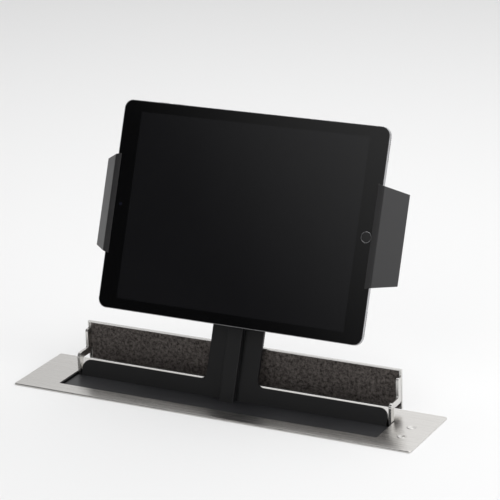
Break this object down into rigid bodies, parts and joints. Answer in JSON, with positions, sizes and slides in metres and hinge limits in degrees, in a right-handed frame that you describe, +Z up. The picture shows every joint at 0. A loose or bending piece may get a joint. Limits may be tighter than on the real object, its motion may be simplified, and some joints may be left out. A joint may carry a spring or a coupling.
{
  "type": "tablet stand",
  "caption": "Motorised tablet stand that rises out of a desk top through a brushed steel plate, with a felt-lined lid, a leaning carrier and spring-loaded side grippers.",
  "frame": {"origin": "centre of the face plate's footprint, on its underside, which is the desk's surface", "axes": "+Z up out of the desk, +Y away from the user, +X to the user's right along the plate"},
  "size_m": [0.4574, 0.2671, 0.6734],
  "materials": {
    "face_steel": "linear brushed, satin",
    "lid_steel": "brushed, satin",
    "lid_felt": "pressed wool felt, mottled charcoal brown",
    "carrier_black": "satin black powder coat",
    "shelf_black": "satin black powder coat",
    "grip_black": "satin dark grey anodised look",
    "housing_zinc": "dark grey powder coat",
    "ground_steel": "ground and polished",
    "cast_alloy": "machined",
    "bush_bronze": "sintered bronze",
    "black_rubber": "matte",
    "holder_plastic": "fine texture",
    "guide_plastic": "natural acetal",
    "motor_steel": "zinc plated can",
    "screw_steel": "zinc plated",
    "board_green": "solder mask",
    "tablet_metal": "fine bead blast, dark anodised",
    "tablet_glass": "polished, black backed",
    "tablet_button": "polished",
    "battery_wrap": "foil wrap",
    "button_steel": "turned and dished"
  },
  "bodies": {
    "frame": {"face_plate": "face_steel", "housing_front": "housing_zinc", "housing_back": "housing_zinc", "housing_side_left": "housing_zinc", "housing_side_right": "housing_zinc", "housing_bottom": "housing_zinc", "housing_screws": "screw_steel", "power_inlet": "holder_plastic", "desk_clamp_brackets": "housing_zinc", "desk_clamp_screws": "screw_steel", "guide_rods": "ground_steel", "rod_brackets_top": "cast_alloy", "rod_brackets_bottom": "cast_alloy", "drive_belt": "black_rubber", "drive_motor": "motor_steel", "motor_bracket": "housing_zinc", "idler_bracket": "housing_zinc", "idler_axle": "ground_steel", "pivot_bushes": "bush_bronze", "lid_motor": "motor_steel", "lid_motor_saddle": "cast_alloy", "switch_box": "holder_plastic", "micro_switches": "holder_plastic", "control_board": "board_green"},
    "carriage": {"carrier_panel": "carrier_black", "centre_rib": "carrier_black", "shelf": "shelf_black", "bearing_block_left": "cast_alloy", "bearing_block_right": "cast_alloy", "linear_bushes": "bush_bronze", "belt_clamp": "cast_alloy", "carriage_screws": "screw_steel", "holder_base": "holder_plastic", "holder_cover": "holder_plastic", "rest_pads": "black_rubber", "bar_guides": "guide_plastic", "grip_springs": "screw_steel"},
    "drive_pulley": {"drive_pulley": "cast_alloy", "motor_shaft": "ground_steel"},
    "idler_pulley": {"idler_pulley": "cast_alloy"},
    "gripper_left": {"gripper_left": "grip_black", "grip_bar_left": "motor_steel", "grip_pad_left": "black_rubber"},
    "gripper_right": {"gripper_right": "grip_black", "grip_bar_right": "motor_steel", "grip_pad_right": "black_rubber", "charge_contact": "bush_bronze"},
    "grip_pinion": {"grip_pinion": "guide_plastic"},
    "tablet": {"tablet_body": "tablet_metal", "tablet_glass": "tablet_glass", "tablet_home_button": "tablet_button", "tablet_battery": "battery_wrap"},
    "lid": {"lid_shell": "lid_steel", "lid_felt": "lid_felt", "lid_arm_left": "lid_steel", "lid_arm_right": "lid_steel", "lid_rivets": "screw_steel", "lid_pins": "ground_steel"},
    "button_up": {"button_up": "button_steel"},
    "button_down": {"button_down": "button_steel"}
  },
  "joints": [
    {"name": "lift_slide", "type": "slide", "parent": "frame", "child": "carriage", "axis": [0, -0.3633, -0.9317], "range_m": [0, 0.318]},
    {"name": "drive_pulley_spin", "type": "hinge", "parent": "frame", "child": "drive_pulley", "pos_m": [0, -0.11971, -0.36525], "axis": [1, 0, 0], "range_deg": [0, 2279.5]},
    {"name": "idler_pulley_spin", "type": "hinge", "parent": "frame", "child": "idler_pulley", "pos_m": [0, 0.01796, -0.01214], "axis": [1, 0, 0], "range_deg": [0, 2279.5]},
    {"name": "gripper_left_slide", "type": "slide", "parent": "carriage", "child": "gripper_left", "axis": [-1, 0, 0], "range_m": [0, 0.005], "stiffness_N_per_m": 300, "springref_m": -0.03},
    {"name": "gripper_right_slide", "type": "slide", "parent": "carriage", "child": "gripper_right", "axis": [1, 0, 0], "range_m": [0, 0.005]},
    {"name": "grip_pinion_spin", "type": "hinge", "parent": "carriage", "child": "grip_pinion", "pos_m": [0, 0.06677, 0.17609], "axis": [0, 0.9317, -0.3633], "range_deg": [0, 36]},
    {"name": "tablet_lift_off", "type": "slide", "parent": "carriage", "child": "tablet", "axis": [0, 0.3633, 0.9317], "range_m": [0, 0.17]},
    {"name": "lid_hinge", "type": "hinge", "parent": "frame", "child": "lid", "pos_m": [0, 0.0293, -0.0062], "axis": [1, 0, 0], "range_deg": [0, 3]},
    {"name": "button_up_press", "type": "slide", "parent": "frame", "child": "button_up", "axis": [0, 0, -1], "range_m": [0, 0.0008], "stiffness_N_per_m": 800, "springref_m": -0.0015},
    {"name": "button_down_press", "type": "slide", "parent": "frame", "child": "button_down", "axis": [0, 0, -1], "range_m": [0, 0.0008], "stiffness_N_per_m": 800, "springref_m": -0.0015}
  ],
  "couplings": [
    {"joint": "drive_pulley_spin", "follows": "lift_slide", "rad_per_m": 125},
    {"joint": "idler_pulley_spin", "follows": "lift_slide", "rad_per_m": 125},
    {"joint": "gripper_right_slide", "follows": "gripper_left_slide", "ratio": 1},
    {"joint": "grip_pinion_spin", "follows": "gripper_left_slide", "rad_per_m": 125}
  ]
}
